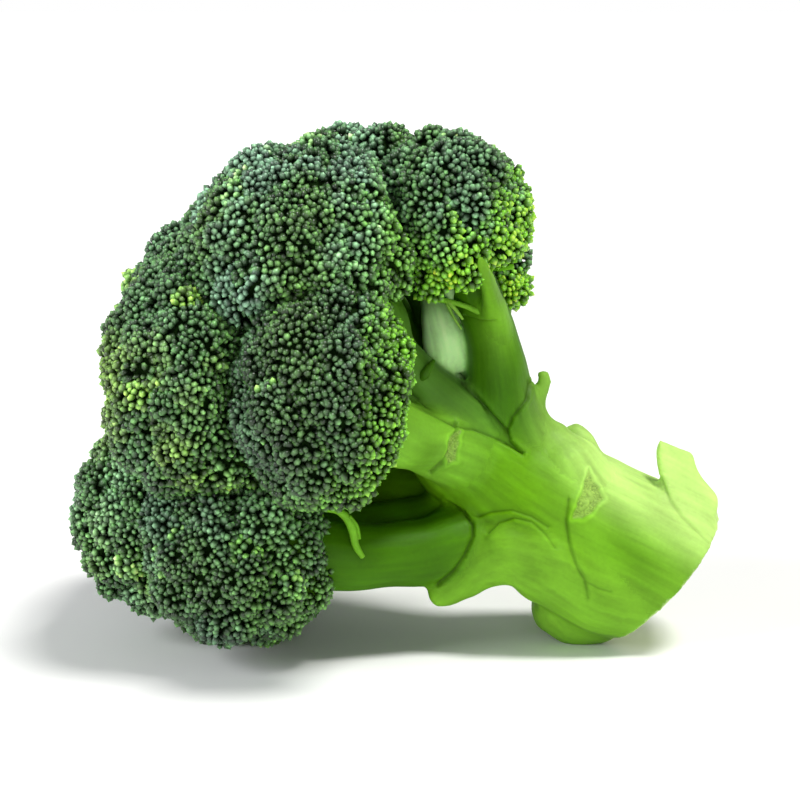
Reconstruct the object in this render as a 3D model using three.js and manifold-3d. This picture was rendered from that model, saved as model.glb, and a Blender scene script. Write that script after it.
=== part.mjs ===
// Head of broccoli, cut from its plant and lying on its side.
// The crown of flower buds is at -X, the cut end of the trunk at +X, and the ground is z = 0.
// All sizes are millimetres.
import * as THREE from 'three';
import { ConvexHull } from 'three/addons/math/ConvexHull.js';
import Module from 'manifold-3d';

// Driving dimensions

const BUD_PITCH = 6.2;          // distance between neighbouring buds, larger than life
const BUD_DEPTH = 1.6;          // how far the furrows between buds lie below their tips
const LOBE_PITCH = 15;          // distance between the small domes that make up one floret head
const FLORET_GAP = 0.5;         // air in the crease between two floret heads
const SOCKET_GAP = 0.3;         // air between a stalk and the floret head that it carries
const PLAIN_PITCH = 12;         // mesh size on the hidden sides of a floret head
const CREASE_SHARPNESS = 14;    // how sharply a dome turns down into its creases
const STEM_STEP = 9;            // distance between the rings of a stalk
const SEED = 20;

// The trunk forks here, and every floret head faces away from this point
const FORK = new THREE.Vector3(22, 0, 50);

// Floret heads: centre, half sizes along X, Y and Z, and how far the dome reaches down
// towards the stalk as a share of its size
const FLORETS = {
  front: { centre: [-19, -41, 76.5], size: [22.5, 28, 27.5], under: 0.42 },
  near_low: { centre: [-42.5, -17, 32], size: [25, 27, 25.5], under: 0.88 },
  left_low: { centre: [-62.5, 4, 36.5], size: [24.5, 27, 28], under: 0.6 },
  left_near: { centre: [-49.5, -18, 76.5], size: [26.5, 33, 33], under: 0.6 },
  top_near: { centre: [-25.5, -19, 105], size: [29.5, 31.5, 31], under: 0.6 },
  top_right: { centre: [12, -10, 114], size: [21, 24, 25.5], under: 0.38 },
  small_right: { centre: [29, 12, 98], size: [7, 8.5, 9.5], under: 0.6 },
  top_middle: { centre: [-8, 12, 111], size: [27, 25, 28], under: 0.6 },
  apex: { centre: [-47.5, 12, 86.5], size: [27, 28, 29.5], under: 0.6 },
  bottom: { centre: [-42, 10, 24.5], size: [23.5, 27, 27], under: 0.6 },
  far: { centre: [-18, 41, 77], size: [22, 29, 28], under: 0.45 },
  far_low: { centre: [-38, 36, 38], size: [24, 29, 27.5], under: 0.55 },
  far_left: { centre: [-55, 31, 64], size: [24, 28, 28], under: 0.6 },
  far_top: { centre: [-18, 33, 98], size: [27.5, 28, 28], under: 0.6 },
};

// Trunk and stalks: each row is a point on the centre line with the radius there.
// Every stalk ends inside the floret head that it carries.
const TRUNK = [
  [94, 3, 5.5, 22], [74.5, 3, 18, 22], [63.1, 2, 24.4, 21.8], [50.6, 1, 31.2, 21], [38.1, 0, 38.8, 20],
  [27.2, 0, 46.6, 18], [17.6, 0, 53.5, 15], [8.1, 0, 60.4, 12.5], [-2.7, 2, 66.9, 11],
  [-18.9, 3, 75, 10], [-38, 8, 82, 9],
];
const STALKS = {
  near_low: [[27.1, -3, 33.4, 11.5], [16.7, -8, 29.9, 10.6], [5.4, -12, 28.1, 9.2], [-4, -15, 28, 8.7],
    [-13.2, -18, 28.3, 9.2], [-22.3, -19, 29.5, 9.5], [-32, -19, 31, 9.5]],
  front: [[21.5, -5, 51.2, 11], [11.9, -12, 57, 9.8], [3.9, -20, 60.7, 8.6], [-2.1, -28, 63.9, 8.9],
    [-9, -34, 68, 9], [-14, -38, 71, 9]],
  top_right: [[32.5, -2, 55.3, 11], [28, -4, 64.7, 9.8], [26.4, -6, 75.1, 8], [24.4, -8, 86.2, 6.8],
    [20.8, -9, 95.7, 6.6], [17, -10, 104, 6.8], [14.5, -10, 109, 6.8]],
  top_near: [[22.9, -4, 57.1, 10], [14.2, -8, 65.5, 8.4], [5.2, -11, 74, 7], [-2.2, -13, 83, 6.4],
    [-5, -14, 91.5, 7], [-10, -16, 98, 8], [-18, -18, 102, 8]],
  top_middle: [[19.1, 5, 66.4, 9], [15, 9, 78.2, 8.2], [12, 11, 87.6, 7.6], [8.2, 13, 96.9, 7.4],
    [1, 13, 104, 7.5]],
  small_right: [[24, -2, 72, 6], [25.5, 4, 81, 4], [27.5, 8, 89, 3], [28.3, 11, 95, 2.8]],
  left_near: [[10, -4, 60, 10], [-8, -9, 66, 9], [-26, -14, 70.5, 9], [-42, -17, 74, 9]],
  left_low: [[24, 2, 36, 11], [4, 3, 31, 8.5], [-14, 3, 30.5, 7.5], [-34, 4, 33, 8], [-52, 4, 36, 8.5]],
  bottom: [[26, 4, 32, 11], [8, 6, 28, 10], [-12, 8, 26, 9], [-33, 10, 25, 9]],
  far: [[20, 6, 52, 11], [8, 18, 58, 9.5], [-2, 28, 63.5, 9], [-10, 36, 68.5, 9]],
  far_low: [[24, 6, 42, 12], [10, 15, 40, 10], [-8, 25, 38, 8.5], [-28, 34, 38, 8]],
  far_left: [[8, 6, 58, 10], [-14, 15, 60, 9], [-32, 22, 61.5, 8.5], [-46, 27, 63, 8.5]],
  far_top: [[16, 6, 62, 10], [6, 15, 76, 8.5], [-4, 23, 86, 8], [-12, 29, 93, 8]],
};

// Leaf bases and bracts that were trimmed from the trunk, in the same rows
const STUBS = {
  lower_rib: [[56, -8, 17, 14], [40.3, -10, 26.2, 13], [30, -12, 28.6, 10.5], [23.3, -12, 25.9, 8],
    [18, -12, 21.2, 5.6], [13.4, -12, 17.6, 4.2], [8.6, -12, 15.4, 2.8]],
  curled_bract: [[50, -4, 40, 12], [43.6, -5, 50.2, 11], [39.3, -4, 57.5, 7], [37.3, -4, 63, 3.8],
    [37.2, -4, 67, 2.7], [38, -4, 71, 2.3], [38.6, -4, 74.2, 1.7]],
  bump: [[54, 4, 42, 6], [49.5, 7, 53.5, 4.5], [47, 8, 58.5, 2.8]],
  end_rib: [[78, -6, 26, 10], [77, -5, 38, 8], [74.5, -4, 48, 5.5], [71, -4, 56, 2.4]],
  end_rib_edge: [[80, -5, 28, 9.5], [80.5, -5, 40, 6.5], [80, -4, 48, 4], [79, -4, 51.5, 2.4]],
  end_rib_top: [[71.5, -4, 54.5, 2.4], [75, -4, 51.5, 3.2], [79, -4, 50.5, 2.8]],
  heel: [[66, 0, 18, 14], [57, 1, 12.6, 12.6], [49, 1, 10, 11.3], [42, 1, 11.5, 9], [38.5, 1, 13, 6]],
};

// The knife cut that took the head from its plant: a point on it and the way it faces
const CUT_POINT = new THREE.Vector3(72.6, 0, 19.2);
const CUT_NORMAL = new THREE.Vector3(0.735, 0.14, -0.64).normalize();

const wasm = await Module();
wasm.setup();

// Helpers

// Seeded draw from 0 to 1, the same in every run
function seededDraw(seed) {
  let state = seed >>> 0;
  return () => {
    state = (state + 0x6d2b79f5) >>> 0;
    let mixed = Math.imul(state ^ (state >>> 15), 1 | state);
    mixed = (mixed + Math.imul(mixed ^ (mixed >>> 7), 61 | mixed)) ^ mixed;
    return ((mixed ^ (mixed >>> 14)) >>> 0) / 4294967296;
  };
}

// Directions spread evenly over a sphere along a golden-angle spiral, each nudged a little
function evenDirections(count, nudge, draw) {
  const golden = Math.PI * (3 - Math.sqrt(5));
  const directions = [];
  for (let i = 0; i < count; i += 1) {
    const z = 1 - (2 * i + 1) / count;
    const ring = Math.sqrt(1 - z * z);
    const direction = new THREE.Vector3(ring * Math.cos(golden * i), ring * Math.sin(golden * i), z);
    direction.x += (draw() - 0.5) * nudge;
    direction.y += (draw() - 0.5) * nudge;
    direction.z += (draw() - 0.5) * nudge;
    directions.push(direction.normalize());
  }
  return directions;
}

// Number of points at a pitch on a sphere of a radius, packed in hexagons
function pointsAtPitch(radius, pitch) {
  return Math.round((4 * Math.PI * radius * radius) / (0.866 * pitch * pitch));
}

function toSolid(points, triangles) {
  const vertProperties = new Float32Array(points.length * 3);
  points.forEach((point, i) => point.toArray(vertProperties, i * 3));
  const triVerts = new Uint32Array(triangles.flat());
  return new wasm.Manifold(new wasm.Mesh({ numProp: 3, vertProperties, triVerts }));
}

// The largest connected body of a solid, as points and triangles
function largestBody(solid) {
  const { vertProperties, triVerts, numProp } = solid.getMesh();
  const count = vertProperties.length / numProp;
  const owner = Array.from({ length: count }, (_, i) => i);
  const find = (i) => {
    let root = i;
    while (owner[root] !== root) {
      owner[root] = owner[owner[root]];
      root = owner[root];
    }
    return root;
  };
  for (let t = 0; t < triVerts.length; t += 3) {
    owner[find(triVerts[t + 1])] = find(triVerts[t]);
    owner[find(triVerts[t + 2])] = find(triVerts[t]);
  }
  const sizes = new Map();
  for (let t = 0; t < triVerts.length; t += 3) {
    const root = find(triVerts[t]);
    sizes.set(root, (sizes.get(root) ?? 0) + 1);
  }
  const largest = [...sizes.entries()].sort((a, b) => b[1] - a[1])[0][0];
  const index = [];
  for (let t = 0; t < triVerts.length; t += 3) {
    if (find(triVerts[t]) === largest) {
      index.push(triVerts[t], triVerts[t + 1], triVerts[t + 2]);
    }
  }
  const positions = new Float32Array(count * 3);
  for (let i = 0; i < count; i += 1) {
    positions.set(vertProperties.subarray(i * numProp, i * numProp + 3), i * 3);
  }
  return { positions, index };
}

function toMesh(name, solid, material) {
  const { positions, index } = largestBody(solid);
  let geometry = new THREE.BufferGeometry();
  geometry.setAttribute('position', new THREE.BufferAttribute(positions, 3));
  geometry.setIndex(index);
  geometry = geometry.toNonIndexed();
  geometry.computeVertexNormals();
  const mesh = new THREE.Mesh(geometry, material);
  mesh.name = name;
  return mesh;
}

// Stem

// A limb is a round section swept along a smooth line, closed by a shallow dome at each end.
// swell adds to every radius, which gives the socket that a limb needs in a floret head.
function limb(rows, sides, swell) {
  const points = rows.map(([x, y, z]) => new THREE.Vector3(x, y, z));
  const line = new THREE.CatmullRomCurve3(points, false, 'centripetal');
  const rings = Math.max(3, Math.round(line.getLength() / STEM_STEP));
  const frames = line.computeFrenetFrames(rings);
  const vertices = [];
  const triangles = [];
  for (let i = 0; i <= rings; i += 1) {
    const t = line.getUtoTmapping(i / rings);
    const middle = line.getPoint(t);
    const place = t * (rows.length - 1);
    const row = Math.min(Math.floor(place), rows.length - 2);
    const share = place - row;
    const ease = share * share * (3 - 2 * share);
    const radius = swell + rows[row][3] * (1 - ease) + rows[row + 1][3] * ease;
    for (let k = 0; k < sides; k += 1) {
      const angle = (2 * Math.PI * (k + 0.5 * (i % 2))) / sides;
      vertices.push(middle.clone()
        .addScaledVector(frames.normals[i], radius * Math.cos(angle))
        .addScaledVector(frames.binormals[i], radius * Math.sin(angle)));
    }
  }
  const ring = (i, k) => i * sides + (k % sides);
  for (let i = 0; i < rings; i += 1) {
    for (let k = 0; k < sides; k += 1) {
      if (i % 2 === 0) {
        triangles.push([ring(i, k), ring(i, k + 1), ring(i + 1, k)]);
        triangles.push([ring(i, k + 1), ring(i + 1, k + 1), ring(i + 1, k)]);
      } else {
        triangles.push([ring(i, k), ring(i, k + 1), ring(i + 1, k + 1)]);
        triangles.push([ring(i, k), ring(i + 1, k + 1), ring(i + 1, k)]);
      }
    }
  }
  const cap = (i, outward) => {
    const middle = line.getPoint(i === 0 ? 0 : 1);
    const radius = swell + rows[i === 0 ? 0 : rows.length - 1][3];
    const tangent = frames.tangents[i];
    vertices.push(middle.clone().addScaledVector(tangent, 0.35 * radius * outward));
    const tip = vertices.length - 1;
    for (let k = 0; k < sides; k += 1) {
      const pair = [ring(i, k), ring(i, k + 1)];
      triangles.push(outward < 0 ? [tip, pair[1], pair[0]] : [tip, pair[0], pair[1]]);
    }
  };
  cap(0, -1);
  cap(rings, 1);
  return toSolid(vertices, triangles);
}

// A block with one face through a point, lying on the side that the normal points to
function block(point, normal, size) {
  const turn = new THREE.Quaternion().setFromUnitVectors(new THREE.Vector3(0, 0, 1), normal);
  const corners = [];
  for (const z of [0, size]) {
    for (const [x, y] of [[-1, -1], [1, -1], [1, 1], [-1, 1]]) {
      corners.push(new THREE.Vector3(x * size, y * size, z).applyQuaternion(turn).add(point));
    }
  }
  const faces = [
    [0, 2, 1], [0, 3, 2], [4, 5, 6], [4, 6, 7], [0, 1, 5], [0, 5, 4],
    [1, 2, 6], [1, 6, 5], [2, 3, 7], [2, 7, 6], [3, 0, 4], [3, 4, 7],
  ];
  return toSolid(corners, faces);
}

function joinedStem(swell) {
  let solid = limb(TRUNK, 18, swell);
  for (const rows of Object.values(STALKS)) {
    solid = solid.add(limb(rows, 10, swell));
  }
  for (const rows of Object.values(STUBS)) {
    solid = solid.add(limb(rows, 10, swell));
  }
  return solid;
}

// Floret heads

// Distance from a head's centre to its dome, without neighbours. The head is a ball of small
// round lobes, stretched to its three half sizes.
function domePoint(direction, floret) {
  let reach = 0.88;
  for (const lobe of floret.lobes) {
    const along = direction.dot(lobe.centre);
    const root = lobe.radius ** 2 - lobe.centre.lengthSq() + along ** 2;
    if (root > 0) {
      reach = Math.max(reach, along + Math.sqrt(root));
    }
  }
  return direction.clone().multiplyScalar(reach).multiply(floret.size);
}

// How far a head may reach along a unit direction before a crease, its underside or the ground.
// The planes are blended softly, so the dome rolls over into each crease and never crosses it.
function limited(distance, direction, floret) {
  let sum = distance ** -CREASE_SHARPNESS;
  for (const { normal, width } of floret.planes) {
    const toward = normal.dot(direction);
    if (toward > 0) {
      sum += (toward / width) ** CREASE_SHARPNESS;
    }
  }
  const reach = sum ** (-1 / CREASE_SHARPNESS);
  return direction.z < 0 ? Math.min(reach, floret.centre.z / -direction.z) : reach;
}

function preparedFlorets() {
  const draw = seededDraw(SEED);
  const florets = Object.entries(FLORETS).map(([name, { centre, size, under }]) => {
    const floret = { name, centre: new THREE.Vector3(...centre), size: new THREE.Vector3(...size), under };
    floret.radius = Math.cbrt(size[0] * size[1] * size[2]);
    floret.axis = floret.centre.clone().sub(FORK).normalize();
    floret.lobes = evenDirections(pointsAtPitch(floret.radius, LOBE_PITCH), 0.25, draw)
      .map((direction) => ({
        centre: direction.multiplyScalar(0.6 + 0.04 * draw()),
        radius: 0.43 + 0.05 * draw(),
      }));
    return floret;
  });
  const halfWidth = (floret, direction) => direction.clone().divide(floret.size).length() ** -1;
  for (const floret of florets) {
    floret.planes = [{
      normal: floret.axis.clone().negate(),
      width: floret.under * halfWidth(floret, floret.axis),
    }];
    for (const other of florets) {
      const normal = other.centre.clone().sub(floret.centre);
      const distance = normal.length();
      normal.normalize();
      const mine = halfWidth(floret, normal);
      const theirs = halfWidth(other, normal);
      if (other !== floret && distance < mine + theirs + 8) {
        const width = (distance ** 2 + mine ** 2 - theirs ** 2) / (2 * distance);
        floret.planes.push({ normal, width: width - FLORET_GAP / 2 });
      }
    }
  }
  return florets;
}

// One floret head: a bud tip at each fine direction on the open dome, furrows between the buds,
// and a plain coarse skin where the head faces its neighbours or its stalk
function floretSolid(floret, draw) {
  const bare = (direction) => {
    const dome = domePoint(direction, floret);
    const distance = dome.length();
    dome.normalize();
    return { toward: dome, distance, reach: limited(distance, dome, floret) };
  };
  const isOpen = (direction) => {
    const { toward, distance, reach } = bare(direction);
    return reach > 0.8 * distance && toward.dot(floret.axis) > -0.3;
  };
  const fine = evenDirections(pointsAtPitch(floret.radius, BUD_PITCH), 0.28 * BUD_PITCH / floret.radius, draw);
  const plain = evenDirections(pointsAtPitch(floret.radius, PLAIN_PITCH), 0, draw);
  const spacing = 0.6 * (BUD_PITCH + PLAIN_PITCH) / 2 / floret.radius;
  const tips = fine.filter(isOpen);
  const rest = plain.filter((a) => !isOpen(a) && tips.every((b) => a.distanceTo(b) > spacing));
  const directions = [...tips, ...rest];
  const hull = new ConvexHull().setFromPoints(directions);
  const indexOf = new Map(directions.map((direction, i) => [direction, i]));
  const faces = hull.faces.map((face) => {
    const first = face.edge;
    return [first.head().point, first.next.head().point, first.next.next.head().point]
      .map((point) => indexOf.get(point));
  });

  const place = (toward, distance) => toward.clone()
    .multiplyScalar(limited(distance, toward, floret)).add(floret.centre);
  const points = directions.map((direction) => {
    const { toward, distance } = bare(direction);
    return place(toward, distance);
  });

  // The furrow point in the middle of each face whose three corners are all buds
  const furrowOf = new Map();
  faces.forEach((face, f) => {
    if (face.every((i) => i < tips.length)) {
      const middle = new THREE.Vector3();
      face.forEach((i) => middle.add(directions[i]));
      const { toward, distance } = bare(middle.normalize());
      const furrow = limited(distance, toward, floret) - BUD_DEPTH;
      furrowOf.set(f, points.length);
      points.push(toward.clone().multiplyScalar(furrow).add(floret.centre));
    }
  });

  // Each edge between two faces with furrows is turned, so six triangles meet at each bud's tip
  const edges = new Map();
  faces.forEach((face, f) => face.forEach((from, k) => {
    edges.set(`${from} ${face[(k + 1) % 3]}`, f);
  }));
  const triangles = [];
  faces.forEach((face, f) => {
    if (!furrowOf.has(f)) {
      triangles.push(face);
      return;
    }
    face.forEach((from, k) => {
      const to = face[(k + 1) % 3];
      const across = edges.get(`${to} ${from}`);
      if (!furrowOf.has(across)) {
        triangles.push([from, to, furrowOf.get(f)]);
      } else {
        triangles.push([from, furrowOf.get(across), furrowOf.get(f)]);
      }
    });
  });
  return toSolid(points, triangles);
}

// Materials

const stemMaterial = new THREE.MeshStandardMaterial({ color: 0x9cc653, roughness: 0.5, metalness: 0 });
const budMaterial = new THREE.MeshStandardMaterial({ color: 0x2f5a2c, roughness: 0.65, metalness: 0 });

// The whole head

const group = new THREE.Group();

const ground = block(new THREE.Vector3(), new THREE.Vector3(0, 0, -1), 300);
const cutOff = block(CUT_POINT, CUT_NORMAL, 100);
const stem = joinedStem(0).subtract(cutOff).subtract(ground);
group.add(toMesh('stem', stem, stemMaterial));

const draw = seededDraw(SEED + 1);
const sockets = joinedStem(SOCKET_GAP);
for (const floret of preparedFlorets()) {
  const solid = floretSolid(floret, draw).subtract(sockets);
  group.add(toMesh(`floret_${floret.name}`, solid, budMaterial.clone()));
}

group.updateMatrixWorld(true);

export default group;
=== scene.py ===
"""Head of broccoli lying on its side: fine buds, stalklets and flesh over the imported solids.

Shapes are worked out in millimetres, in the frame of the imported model, and written to meshes
in metres. Colours are linear red, green and blue.
"""

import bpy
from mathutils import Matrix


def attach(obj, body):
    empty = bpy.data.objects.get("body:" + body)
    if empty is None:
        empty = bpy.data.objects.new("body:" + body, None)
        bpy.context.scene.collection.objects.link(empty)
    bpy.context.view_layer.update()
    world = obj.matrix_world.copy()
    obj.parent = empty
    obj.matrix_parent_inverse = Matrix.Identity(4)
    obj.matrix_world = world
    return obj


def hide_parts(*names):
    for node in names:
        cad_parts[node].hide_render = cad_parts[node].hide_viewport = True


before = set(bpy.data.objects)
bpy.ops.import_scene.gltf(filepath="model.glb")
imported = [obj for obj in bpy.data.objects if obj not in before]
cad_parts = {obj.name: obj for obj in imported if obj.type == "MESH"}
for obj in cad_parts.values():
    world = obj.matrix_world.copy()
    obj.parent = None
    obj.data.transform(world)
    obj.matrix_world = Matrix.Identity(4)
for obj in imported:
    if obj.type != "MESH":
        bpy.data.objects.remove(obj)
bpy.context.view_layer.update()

import math

import bmesh
import bpy
import numpy as np
from bpy.props import FloatProperty, FloatVectorProperty, IntProperty, PointerProperty
from mathutils import Vector

bl_info = {
    "name": "Broccoli head",
    "version": (1, 0, 0),
    "blender": (4, 5, 0),
    "location": "3D View > Sidebar > Broccoli",
    "description": "Builds the florets, the stem and the stage of a head of broccoli",
    "category": "Add Mesh",
}

MM = 0.001

# Floret heads: centre, half sizes along X, Y and Z, and how far the dome reaches down towards
# its stalk as a share of its size
FLORETS = {
    "front": ((-19, -41, 76.5), (22.5, 28, 27.5), 0.42),
    "near_low": ((-42.5, -17, 32), (25, 27, 25.5), 0.88),
    "left_low": ((-62.5, 4, 36.5), (24.5, 27, 28), 0.6),
    "left_near": ((-49.5, -18, 76.5), (26.5, 33, 33), 0.6),
    "top_near": ((-25.5, -19, 105), (29.5, 31.5, 31), 0.6),
    "top_right": ((12, -10, 114), (21, 24, 25.5), 0.38),
    "small_right": ((29, 12, 98), (7, 8.5, 9.5), 0.6),
    "top_middle": ((-8, 12, 111), (27, 25, 28), 0.6),
    "apex": ((-47.5, 12, 86.5), (27, 28, 29.5), 0.6),
    "bottom": ((-42, 10, 24.5), (23.5, 27, 27), 0.6),
    "far": ((-18, 41, 77), (22, 29, 28), 0.45),
    "far_low": ((-38, 36, 38), (24, 29, 27.5), 0.55),
    "far_left": ((-55, 31, 64), (24, 28, 28), 0.6),
    "far_top": ((-18, 33, 98), (27.5, 28, 28), 0.6),
}
FORK = np.array((22.0, 0, 50))  # the trunk forks here, and every floret head faces away from it

# Lobes of a head: their pitch in millimetres and the seed of their draws. Then, as shares of the
# head's size, how far they stray, how far out their centres lie and how much that varies, their
# radii in the same way, and the ball that the skin never sinks into.
LOBE_PITCH = 15
LOBE_SEED = 20
LOBE_STRAY = 0.25
LOBE_OUT = (0.6, 0.04)
LOBE_RADIUS = (0.43, 0.05)
INNER_BALL = 0.88

# Heads whose skins come within reach of each other part by a gap. The skin rolls into the crease
# by a power, the sharpness, and swells and sinks in patches of a size.
FLORET_GAP = 0.5
NEIGHBOUR_REACH = 8
CREASE_SHARPNESS = 24
RELIEF = 1.1
RELIEF_SIZE = 13

# Tufts of buds, in millimetres: how far their places stray, their radii, the mean radius that
# buds are counted for, and how much deeper or higher than the skin their tops lie
TUFT_STRAY = 3.2
TUFT_RADII = (3.3, 5.0)
TUFT_MEAN = 4.2
TUFT_SINK = (-0.7, 0.9)

OPEN_SHARE = 0.74  # buds stand where a crease leaves this share of the dome
BUD_WIDTH = 0.59  # a bud's radius as a share of the pitch
LOW_SINK = 1.3  # depth of the lower buds below the skin
CORE_SINK = 2.3  # depth of the core below the skin
CORE_GRID = (32, 60)  # rings and sides of the core
BUD_GROUND = 0.4  # buds start this high above the ground
GROUND_GAP = 0.15  # and nothing of a head reaches below this

# How olive, how blue with wax and how fresh yellow-green at its rim each floret head is, and
# how light: painted light and shade, lighter for the heads at the left and top that catch more
# light, darker for the front and the low near head
TONES = {
    "front": (0.15, 0.3, 0.9, 0.72),
    "near_low": (0.1, 0.5, 0.35, 0.9),
    "left_low": (0.5, 0.4, 0.3, 1.6),
    "left_near": (0.8, 0.15, 0.3, 1.15),
    "top_near": (0.2, 0.8, 0.3, 1.2),
    "top_right": (0.1, 0.35, 0.75, 1.2),
    "small_right": (0.1, 0.0, 1.1, 1.2),
    "top_middle": (0.2, 0.6, 0.3, 1.4),
    "apex": (0.6, 0.3, 0.3, 1.2),
    "bottom": (0.3, 0.2, 0.3, 1.1),
    "far": (0.3, 0.5, 0.7, 1.1),
    "far_low": (0.4, 0.4, 0.5, 1.1),
    "far_left": (0.5, 0.4, 0.4, 1.2),
    "far_top": (0.2, 0.6, 0.5, 1.3),
}

# Trunk, stalks and trimmed leaf bases: each row is a point on the centre line and the radius
TRUNK = [
    (94, 3, 5.5, 22), (74.5, 3, 18, 22), (63.1, 2, 24.4, 21.8), (50.6, 1, 31.2, 21),
    (38.1, 0, 38.8, 20), (27.2, 0, 46.6, 18), (17.6, 0, 53.5, 15), (8.1, 0, 60.4, 12.5),
    (-2.7, 2, 66.9, 11), (-18.9, 3, 75, 10), (-38, 8, 82, 9),
]
STALKS = {
    "near_low": [(27.1, -3, 33.4, 11.5), (16.7, -8, 29.9, 10.6), (5.4, -12, 28.1, 9.2),
                 (-4, -15, 28, 8.7), (-13.2, -18, 28.3, 9.2), (-22.3, -19, 29.5, 9.5),
                 (-32, -19, 31, 9.5)],
    "front": [(21.5, -5, 51.2, 11), (11.9, -12, 57, 9.8), (3.9, -20, 60.7, 8.6),
              (-2.1, -28, 63.9, 8.9), (-9, -34, 68, 9), (-14, -38, 71, 9)],
    "top_right": [(32.5, -2, 55.3, 11), (28, -4, 64.7, 9.8), (26.4, -6, 75.1, 8),
                  (24.4, -8, 86.2, 6.8), (20.8, -9, 95.7, 6.6), (17, -10, 104, 6.8),
                  (14.5, -10, 109, 6.8)],
    "top_near": [(22.9, -4, 57.1, 10), (14.2, -8, 65.5, 8.4), (5.2, -11, 74, 7),
                 (-2.2, -13, 83, 6.4), (-5, -14, 91.5, 7), (-10, -16, 98, 8),
                 (-18, -18, 102, 8)],
    "top_middle": [(19.1, 5, 66.4, 9), (15, 9, 78.2, 8.2), (12, 11, 87.6, 7.6),
                   (8.2, 13, 96.9, 7.4), (1, 13, 104, 7.5)],
    "small_right": [(24, -2, 72, 6), (25.5, 4, 81, 4), (27.5, 8, 89, 3), (28.3, 11, 95, 2.8)],
    "left_near": [(10, -4, 60, 10), (-8, -9, 66, 9), (-26, -14, 70.5, 9), (-42, -17, 74, 9)],
    "left_low": [(24, 2, 36, 11), (4, 3, 31, 8.5), (-14, 3, 30.5, 7.5), (-34, 4, 33, 8),
                 (-52, 4, 36, 8.5)],
    "bottom": [(26, 4, 32, 11), (8, 6, 28, 10), (-12, 8, 26, 9), (-33, 10, 25, 9)],
    "far": [(20, 6, 52, 11), (8, 18, 58, 9.5), (-2, 28, 63.5, 9), (-10, 36, 68.5, 9)],
    "far_low": [(24, 6, 42, 12), (10, 15, 40, 10), (-8, 25, 38, 8.5), (-28, 34, 38, 8)],
    "far_left": [(8, 6, 58, 10), (-14, 15, 60, 9), (-32, 22, 61.5, 8.5), (-46, 27, 63, 8.5)],
    "far_top": [(16, 6, 62, 10), (6, 15, 76, 8.5), (-4, 23, 86, 8), (-12, 29, 93, 8)],
}
STUBS = {
    "lower_rib": [(72, -1, 14, 14), (56, -6.5, 18, 14), (40.3, -10, 26.2, 13), (30, -12, 28.6, 10.5),
                  (23.3, -12, 25.9, 8), (18, -12, 21.2, 5.6), (13.4, -12, 17.6, 4.2),
                  (8.6, -12, 15.4, 2.8)],
    "curled_bract": [(50, -4, 40, 12), (43.6, -5, 50.2, 10.5), (39.6, -4, 57.2, 6.6),
                     (37.4, -4, 62.5, 3.3), (36.9, -4, 66.5, 2.2), (37.9, -4, 70.5, 2.0),
                     (38.9, -4, 73.4, 1.9), (38.3, -4.6, 75.2, 1.5), (37, -5, 74.4, 1.2)],
    "bump": [(54, 4, 42, 6), (49.5, 7, 53.5, 4.5), (47, 8, 58.5, 2.8)],
    "end_rib": [(78, -3, 26, 10), (77, -2, 38, 6), (75.5, -3, 46, 3.2), (74.5, -3, 50, 2.2)],
    "heel": [(66, 0, 18, 14), (57, 1, 12.6, 12.6), (49, 1, 10, 11.3), (42, 1, 11.5, 9),
             (38.5, 1, 13, 6)],
    "rim_branch": [(26, -8, 80, 4.4), (25.6, -11, 87, 4.2), (24.8, -15.5, 93.5, 3.5),
                   (23.7, -21.5, 98.6, 2.8), (22.4, -28, 103, 2.3), (21, -33.2, 107, 1.8),
                   (19.9, -35, 110.4, 1.2)],
}

# The knife cut: a point on it and the way it faces, the middle of its pith, and how far the low
# dome on it and its faint ring reach from there
CUT_POINT = np.array((72.6, 0, 19.2))
CUT_NORMAL = np.array((0.735, 0.07, -0.64))
CUT_NORMAL /= np.linalg.norm(CUT_NORMAL)
PITH = CUT_POINT + (0, 3, 0)
CUT_DOME = 23
CUT_RING = 17

# Limbs: samples between two rows, sides of a section, and the fixed direction that its first
# axis is square to
LIMB_SAMPLES = 12
LIMB_SIDES = 36
SECTION_SIDE = (0.31, 0.9, 0.27)
GRAIN_ALONG = 0.06  # a step along a limb counts for this share of one across it
LUMP_YIELD = 9  # lumps count as this much farther off, so that the fibres run on over them

# A tongue of pale waxed flesh left in the fork, in the same rows
TONGUE = [(8.4, 4, 100.5, 3.6), (9.6, 2, 94.5, 4.6), (11, 0, 88.6, 5.7), (12.2, -1.4, 83.6, 6.4),
          (12.9, -2.2, 79.6, 6), (13.3, -2.6, 76.6, 4.4), (13.5, -2.6, 74.8, 2.2)]

# The flap of leaf base at the trunk's end, seen square on: its left and right edges from the
# top down, each (X, Z)
FLAP_LEFT = [(69.7, 57.1), (69.1, 54), (69.4, 50), (70.5, 46.1), (72.1, 42.1), (74.8, 38.7),
             (78, 35.3), (80.9, 32.2)]
FLAP_RIGHT = [(79.4, 53.1), (80.2, 49.1), (82.4, 45.4), (86.1, 41.2), (85.9, 38.4), (85, 35.5),
              (84, 32.6), (82.6, 30.4)]

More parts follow.
